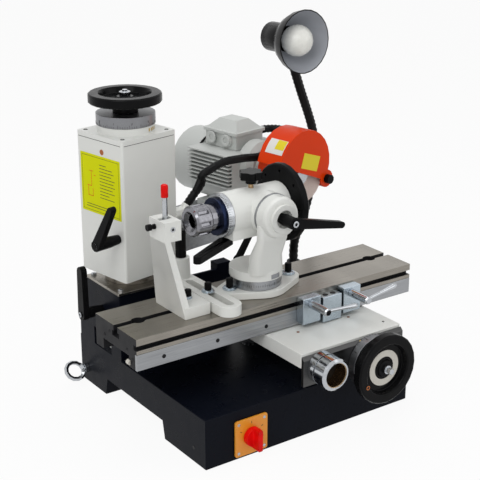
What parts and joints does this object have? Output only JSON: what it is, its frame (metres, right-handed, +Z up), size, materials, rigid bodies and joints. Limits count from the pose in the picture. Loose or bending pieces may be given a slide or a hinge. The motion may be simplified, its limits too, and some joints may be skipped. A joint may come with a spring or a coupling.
{
  "type": "end mill grinder",
  "caption": "Bench grinder for end mills: sliding T-slot table with indexing work head, centre support and tooth rest, under a motor head on a swivelling pillar, with a gooseneck lamp.",
  "frame": {"origin": "middle of the front foot's underside, on the bench", "axes": "+X along the table to the operator's right, +Y to the back, +Z up"},
  "size_m": [0.5294, 0.5577, 0.6035],
  "materials": {
    "black_paint": "gloss dark charcoal paint",
    "white_paint": "satin white enamel",
    "light_grey": "light grey paint",
    "ground_steel": "ground",
    "satin_steel": "satin",
    "chrome": "polished",
    "black_plastic": "satin black",
    "blue_steel": "blued",
    "rubber": "ribbed matte",
    "orange_paint": "gloss orange-red paint",
    "yellow_plate": "printed plate, bare",
    "red_plastic": "gloss red",
    "abrasive": "rough bonded grit",
    "frosted_glass": "frosted"
  },
  "bodies": {
    "base": {"base_casting": "black_paint", "pedestal_plate": "satin_steel", "control_box": "light_grey", "chip_guard": "black_paint", "switch_plate": "yellow_plate", "lifting_eyebolt": "chrome", "lamp_bracket": "black_paint", "lamp_gooseneck": "rubber", "cross_way": "ground_steel"},
    "switch": {"switch_knob": "red_plastic"},
    "lamp": {"lamp_shade": "black_paint", "lamp_bulb": "frosted_glass"},
    "pillar_clamp": {"pillar_lever": "black_plastic"},
    "saddle": {"saddle_casting": "white_paint", "apron_plate": "satin_steel"},
    "cross_wheel": {"front_handwheel": "black_plastic", "front_dial": "satin_steel", "cross_screw": "chrome"},
    "traverse": {"traverse_collar": "chrome", "traverse_pinion": "satin_steel"},
    "table": {"table_slab": "ground_steel", "table_front_plate": "satin_steel", "table_rack": "satin_steel", "stop_block_middle": "satin_steel", "head_flange": "white_paint", "swivel_ring": "satin_steel"},
    "left_stop": {"stop_block_left": "satin_steel"},
    "left_stop_clamp": {"stop_lever_left": "chrome"},
    "right_stop": {"stop_block_right": "satin_steel"},
    "right_stop_clamp": {"stop_lever_right": "chrome"},
    "turret": {"turret_column": "white_paint"},
    "tilt_clamp": {"tilt_lever": "black_plastic"},
    "turret_clamp": {"turret_lever": "black_plastic"},
    "work_head": {"spindle_housing": "white_paint"},
    "spindle_clamp": {"spindle_lock_lever": "black_plastic"},
    "work_spindle_group": {"work_spindle": "blue_steel", "spindle_dial": "satin_steel", "collet_nut": "chrome", "index_plate": "black_plastic"},
    "index_pin": {"index_knob": "black_plastic"},
    "centre_support": {"tail_body": "white_paint"},
    "centre": {"tail_centre": "chrome"},
    "centre_screw": {"tail_screw": "black_plastic"},
    "tooth_rest": {"rest_arm": "white_paint"},
    "rest_pin": {"rest_post": "black_plastic"},
    "pillar_group": {"pillar": "ground_steel"},
    "head": {"head_housing": "white_paint", "motor_arm": "satin_steel", "motor_body": "light_grey", "fan_cowl": "light_grey", "terminal_box": "light_grey", "conduit": "rubber"},
    "lift_wheel": {"top_handwheel": "black_plastic", "top_dial": "satin_steel", "lift_screw": "chrome"},
    "housing_clamp": {"housing_lever": "black_plastic"},
    "grinding_spindle": {"wheel_spindle": "satin_steel", "grinding_wheel": "abrasive"},
    "guard": {"wheel_guard": "orange_paint"},
    "guard_clamp": {"guard_knob": "black_plastic"}
  },
  "joints": [
    {"name": "switch_turn", "type": "hinge", "parent": "base", "child": "switch", "pos_m": [-0.116, -0.06, 0.034], "axis": [0, 1, 0], "range_deg": [-60, 60]},
    {"name": "lamp_tilt", "type": "hinge", "parent": "base", "child": "lamp", "pos_m": [0.16831, 0.23208, 0.52451], "axis": [0.999, 0.045, 0], "range_deg": [-20, 20]},
    {"name": "pillar_clamp_turn", "type": "hinge", "parent": "base", "child": "pillar_clamp", "pos_m": [-0.21, 0.239, 0.151], "axis": [1, 0, 0], "range_deg": [-30, 30]},
    {"name": "cross_slide", "type": "slide", "parent": "base", "child": "saddle", "axis": [0, 1, 0], "range_m": [-0.075, 0]},
    {"name": "cross_wheel_turn", "type": "hinge", "parent": "saddle", "child": "cross_wheel", "pos_m": [0.09, -0.105, 0.108], "axis": [0, 1, 0], "continuous": true},
    {"name": "table_slide", "type": "slide", "parent": "saddle", "child": "table", "axis": [1, 0, 0], "range_m": [-0.1, 0.1]},
    {"name": "traverse_turn", "type": "hinge", "parent": "saddle", "child": "traverse", "pos_m": [-0.007, -0.095, 0.1245], "axis": [0, 1, 0], "range_deg": [-215, 215]},
    {"name": "left_stop_slide", "type": "slide", "parent": "table", "child": "left_stop", "axis": [1, 0, 0], "range_m": [-0.2, 0.004]},
    {"name": "left_stop_clamp_turn", "type": "hinge", "parent": "left_stop", "child": "left_stop_clamp", "pos_m": [0.03496, -0.02, 0.188], "axis": [0, 1, 0], "range_deg": [-50, 30]},
    {"name": "right_stop_slide", "type": "slide", "parent": "table", "child": "right_stop", "axis": [1, 0, 0], "range_m": [-0.003, 0.1]},
    {"name": "right_stop_clamp_turn", "type": "hinge", "parent": "right_stop", "child": "right_stop_clamp", "pos_m": [0.11496, -0.02, 0.188], "axis": [0, 1, 0], "range_deg": [-40, 40]},
    {"name": "turret_swivel", "type": "hinge", "parent": "table", "child": "turret", "pos_m": [-0.015, 0.071, 0.23], "axis": [0, 0, -1], "range_deg": [-30, 20]},
    {"name": "tilt_clamp_turn", "type": "hinge", "parent": "turret", "child": "tilt_clamp", "pos_m": [-0.015, -0.01, 0.333], "axis": [0, 1, 0], "range_deg": [-30, 30]},
    {"name": "turret_clamp_turn", "type": "hinge", "parent": "turret", "child": "turret_clamp", "pos_m": [-0.015, 0.118, 0.2342], "axis": [0, 1, 0], "range_deg": [-25, 25]},
    {"name": "work_tilt", "type": "hinge", "parent": "turret", "child": "work_head", "pos_m": [-0.015, 0.035, 0.333], "axis": [0, -1, 0], "range_deg": [-20, 20]},
    {"name": "spindle_clamp_turn", "type": "hinge", "parent": "work_head", "child": "spindle_clamp", "pos_m": [-0.063, 0.08, 0.29], "axis": [0, 0, 1], "range_deg": [0, 40]},
    {"name": "work_spin", "type": "hinge", "parent": "work_head", "child": "work_spindle_group", "pos_m": [-0.015, 0.071, 0.333], "axis": [1, 0, 0], "continuous": true},
    {"name": "index_pin_slide", "type": "slide", "parent": "work_head", "child": "index_pin", "axis": [0, 0, 1], "range_m": [0, 0.006], "stiffness_N_per_m": 600, "springref_m": -0.004},
    {"name": "centre_support_slide", "type": "slide", "parent": "table", "child": "centre_support", "axis": [1, 0, 0], "range_m": [-0.06, 0]},
    {"name": "centre_slide", "type": "slide", "parent": "centre_support", "child": "centre", "axis": [1, 0, 0], "range_m": [-0.007, 0], "stiffness_N_per_m": 500, "springref_m": 0.003},
    {"name": "centre_screw_turn", "type": "hinge", "parent": "centre_support", "child": "centre_screw", "pos_m": [-0.194, 0.0756, 0.3363], "axis": [1, 0, 0], "range_deg": [-180, 180]},
    {"name": "tooth_rest_slide", "type": "slide", "parent": "table", "child": "tooth_rest", "axis": [0, 1, 0], "range_m": [-0.05, 0]},
    {"name": "rest_pin_turn", "type": "hinge", "parent": "tooth_rest", "child": "rest_pin", "pos_m": [-0.104, 0.146, 0.266], "axis": [0, 0, 1], "range_deg": [-90, 90]},
    {"name": "head_swivel", "type": "hinge", "parent": "base", "child": "pillar_group", "pos_m": [-0.141, 0.239, 0.2], "axis": [0, 0, 1], "range_deg": [0, 50]},
    {"name": "head_lift", "type": "slide", "parent": "pillar_group", "child": "head", "axis": [0, 0, 1], "range_m": [-0.005, 0.07]},
    {"name": "lift_wheel_turn", "type": "hinge", "parent": "head", "child": "lift_wheel", "pos_m": [-0.141, 0.239, 0.45], "axis": [0, 0, 1], "continuous": true},
    {"name": "housing_clamp_turn", "type": "hinge", "parent": "head", "child": "housing_clamp", "pos_m": [-0.1877, 0.19116, 0.282], "axis": [0.9848, 0.1736, 0], "range_deg": [-30, 30]},
    {"name": "wheel_spin", "type": "hinge", "parent": "head", "child": "grinding_spindle", "pos_m": [0.13438, 0.18602, 0.337], "axis": [-0.1736, 0.9848, 0], "continuous": true},
    {"name": "guard_turn", "type": "hinge", "parent": "head", "child": "guard", "pos_m": [0.13438, 0.18602, 0.337], "axis": [-0.1736, 0.9848, 0], "range_deg": [-15, 15]},
    {"name": "guard_knob_turn", "type": "hinge", "parent": "guard", "child": "guard_clamp", "pos_m": [0.19479, 0.15402, 0.32097], "axis": [-0.1736, 0.9848, 0], "range_deg": [-180, 180]}
  ],
  "couplings": [
    {"joint": "cross_wheel_turn", "follows": "cross_slide", "rad_per_m": 1570.8},
    {"joint": "traverse_turn", "follows": "table_slide", "rad_per_m": 36.364},
    {"joint": "lift_wheel_turn", "follows": "head_lift", "rad_per_m": 1570.8}
  ]
}
